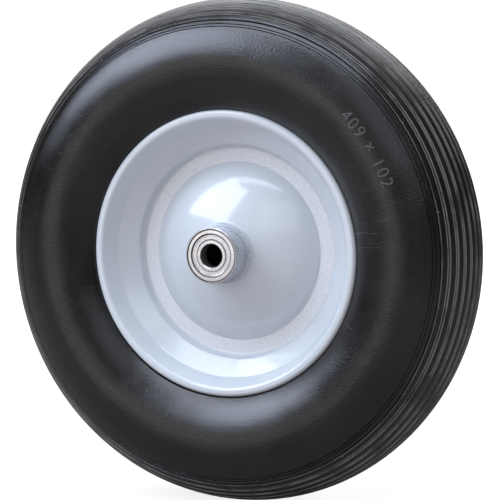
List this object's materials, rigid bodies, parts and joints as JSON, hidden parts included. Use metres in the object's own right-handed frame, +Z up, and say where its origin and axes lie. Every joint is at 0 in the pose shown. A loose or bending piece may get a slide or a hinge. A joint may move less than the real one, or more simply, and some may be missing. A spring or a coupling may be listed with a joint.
{
  "type": "barrow wheel",
  "caption": "Barrow wheel with a solid ribbed foam tyre on a dished pressed steel rim, and a hub tube that holds shielded ball bearings.",
  "frame": {"origin": "the wheel's centre, on the axle line at the mid-plane of the tyre", "axes": "the wheel stands upright and spins about +Y, the front face looks toward -Y, and +Z is up"},
  "size_m": [0.409, 0.1062, 0.409],
  "materials": {
    "tyre": "moulded polyurethane foam with a smooth satin skin",
    "rim_paint": "pale blue-grey gloss powder coat",
    "hub_steel": "thin grey coat over turned tube",
    "ring_steel": "ground bearing steel",
    "shield_steel": "pressed bright sheet",
    "cage_steel": "pressed mild steel",
    "ball_steel": "polished"
  },
  "bodies": {
    "front_inner_race": {"front_inner_ring": "ring_steel"},
    "wheel": {"tyre": "tyre", "front_rim_half": "rim_paint", "rear_rim_half": "rim_paint", "hub_tube": "hub_steel", "front_hub_weld": "rim_paint", "rear_hub_weld": "rim_paint", "front_outer_ring": "ring_steel", "rear_outer_ring": "ring_steel", "front_outside_shield": "shield_steel", "front_inside_shield": "shield_steel", "rear_outside_shield": "shield_steel", "rear_inside_shield": "shield_steel"},
    "front_ball_set": {"front_outside_cage_half": "cage_steel", "front_inside_cage_half": "cage_steel", "front_cage_rivets": "cage_steel", "front_ball_1": "ball_steel", "front_ball_2": "ball_steel", "front_ball_3": "ball_steel", "front_ball_4": "ball_steel", "front_ball_5": "ball_steel", "front_ball_6": "ball_steel", "front_ball_7": "ball_steel", "front_ball_8": "ball_steel"},
    "rear_inner_race": {"rear_inner_ring": "ring_steel"},
    "rear_ball_set": {"rear_outside_cage_half": "cage_steel", "rear_inside_cage_half": "cage_steel", "rear_cage_rivets": "cage_steel", "rear_ball_1": "ball_steel", "rear_ball_2": "ball_steel", "rear_ball_3": "ball_steel", "rear_ball_4": "ball_steel", "rear_ball_5": "ball_steel", "rear_ball_6": "ball_steel", "rear_ball_7": "ball_steel", "rear_ball_8": "ball_steel"}
  },
  "joints": [
    {"name": "wheel_spin", "type": "hinge", "parent": "front_inner_race", "child": "wheel", "pos_m": [0, 0, 0], "axis": [0, 1, 0], "continuous": true},
    {"name": "front_ball_set_spin", "type": "hinge", "parent": "front_inner_race", "child": "front_ball_set", "pos_m": [0, -0.04704, 0], "axis": [0, 1, 0], "continuous": true},
    {"name": "rear_inner_race_spin", "type": "hinge", "parent": "wheel", "child": "rear_inner_race", "pos_m": [0, 0.04704, 0], "axis": [0, 1, 0], "continuous": true},
    {"name": "rear_ball_set_spin", "type": "hinge", "parent": "wheel", "child": "rear_ball_set", "pos_m": [0, 0.04704, 0], "axis": [0, 1, 0], "continuous": true}
  ],
  "couplings": [
    {"joint": "front_ball_set_spin", "follows": "wheel_spin", "ratio": 0.60526},
    {"joint": "rear_ball_set_spin", "follows": "rear_inner_race_spin", "ratio": 0.39474}
  ]
}
